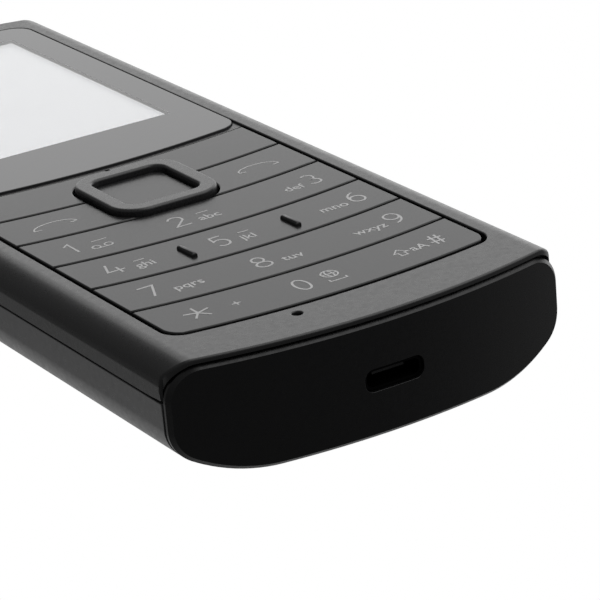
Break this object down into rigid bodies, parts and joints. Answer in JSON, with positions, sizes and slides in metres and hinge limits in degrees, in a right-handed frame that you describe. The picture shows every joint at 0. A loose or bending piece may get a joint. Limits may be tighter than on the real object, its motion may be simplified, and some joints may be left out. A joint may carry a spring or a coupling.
{
  "type": "mobile phone",
  "caption": "Bar-shaped mobile phone with strip keys below a display window, a raised rocking navigation ring, bowed end caps with sockets and a lift-off battery door.",
  "frame": {"origin": "centre of the flat back, in the plane that the phone lies on", "axes": "+Z out of the front with the keys, +Y along the body towards the earpiece, -Y the end with the charging socket"},
  "size_m": [0.0514, 0.132, 0.0153],
  "materials": {
    "cover_black": "fine grained satin",
    "door_black": "fine grained satin",
    "cap_black": "smooth satin",
    "frame_grey": "matt",
    "key_black": "fine grained satin with light legends",
    "ring_grey": "satin",
    "window_dark": "polished",
    "panel_glass": "lit when in use",
    "backlight_white": "matt",
    "foam_black": "matt",
    "silicone": "translucent matt",
    "film": "clear film over metal domes",
    "board_green": "solder mask",
    "flex_amber": "film",
    "connector_cream": "matt",
    "led_clear": "clear",
    "inner_black": "matt",
    "steel": "bare",
    "plated_black": "dark plating",
    "contact_gold": "plated",
    "battery_grey": "printed film"
  },
  "bodies": {
    "phone": {"front_cover": "cover_black", "bottom_cap": "cap_black", "top_cap": "cap_black", "mid_frame": "frame_grey", "display_window": "window_dark", "display_panel": "panel_glass", "display_backlight": "backlight_white", "display_cradle": "backlight_white", "window_adhesive": "foam_black", "speaker_gasket": "foam_black", "microphone_boot": "foam_black", "keypad_mat": "silicone", "dome_sheet": "film", "main_board": "board_green", "sub_board": "board_green", "display_flex": "flex_amber", "board_connector": "connector_cream", "keypad_leds": "led_clear", "torch_led": "led_clear", "torch_lens": "led_clear", "earpiece_receiver": "inner_black", "loudspeaker": "inner_black", "headset_jack": "inner_black", "usb_tongue": "inner_black", "antenna_carrier": "inner_black", "case_screws": "steel", "earpiece_mesh": "steel", "microphone": "steel", "vibration_motor": "steel", "sim_holder_left": "steel", "sim_holder_right": "steel", "memory_card_holder": "steel", "baseband_shield": "steel", "rf_shield": "steel", "usb_shell": "plated_black", "battery_contacts": "contact_gold", "antenna_strip": "contact_gold", "battery": "battery_grey"},
    "rear_cover": {"rear_cover": "door_black"},
    "left_soft_key": {"left_soft_key": "key_black"},
    "right_soft_key": {"right_soft_key": "key_black"},
    "call_key": {"call_key": "key_black"},
    "end_key": {"end_key": "key_black"},
    "key_row_123": {"key_row_123": "key_black"},
    "key_row_456": {"key_row_456": "key_black"},
    "key_row_789": {"key_row_789": "key_black"},
    "key_row_star_0_hash": {"key_row_star_0_hash": "key_black"},
    "nav_ring": {"nav_ring": "ring_grey"},
    "select_key": {"select_key": "key_black"},
    "vibration_weight": {"vibration_weight": "steel"}
  },
  "joints": [
    {"name": "left_soft_press", "type": "slide", "parent": "phone", "child": "left_soft_key", "axis": [0, 0, -1], "range_m": [0, 0.0003], "stiffness_N_per_m": 3000},
    {"name": "right_soft_press", "type": "slide", "parent": "phone", "child": "right_soft_key", "axis": [0, 0, -1], "range_m": [0, 0.0003], "stiffness_N_per_m": 3000},
    {"name": "call_press", "type": "slide", "parent": "phone", "child": "call_key", "axis": [0, 0, -1], "range_m": [0, 0.0003], "stiffness_N_per_m": 3000},
    {"name": "end_press", "type": "slide", "parent": "phone", "child": "end_key", "axis": [0, 0, -1], "range_m": [0, 0.0003], "stiffness_N_per_m": 3000},
    {"name": "row_123_press", "type": "slide", "parent": "phone", "child": "key_row_123", "axis": [0, 0, -1], "range_m": [0, 0.0003], "stiffness_N_per_m": 3000},
    {"name": "row_456_press", "type": "slide", "parent": "phone", "child": "key_row_456", "axis": [0, 0, -1], "range_m": [0, 0.0003], "stiffness_N_per_m": 3000},
    {"name": "row_789_press", "type": "slide", "parent": "phone", "child": "key_row_789", "axis": [0, 0, -1], "range_m": [0, 0.0003], "stiffness_N_per_m": 3000},
    {"name": "row_star_press", "type": "slide", "parent": "phone", "child": "key_row_star_0_hash", "axis": [0, 0, -1], "range_m": [0, 0.0003], "stiffness_N_per_m": 3000},
    {"name": "select_press", "type": "slide", "parent": "phone", "child": "select_key", "axis": [0, 0, -1], "range_m": [0, 0.0003], "stiffness_N_per_m": 3000},
    {"name": "nav_rock", "type": "hinge", "parent": "phone", "child": "nav_ring", "pos_m": [0, -0.01335, 0.0139], "axis": [1, 0, 0], "range_deg": [-1.6, 1.6], "stiffness_Nm_per_rad": 0.4},
    {"name": "door_lift", "type": "slide", "parent": "phone", "child": "rear_cover", "axis": [0, 0, -1], "range_m": [0, 0.014]},
    {"name": "weight_spin", "type": "hinge", "parent": "phone", "child": "vibration_weight", "pos_m": [0.008, -0.0485, 0.0048], "axis": [1, 0, 0], "continuous": true}
  ]
}
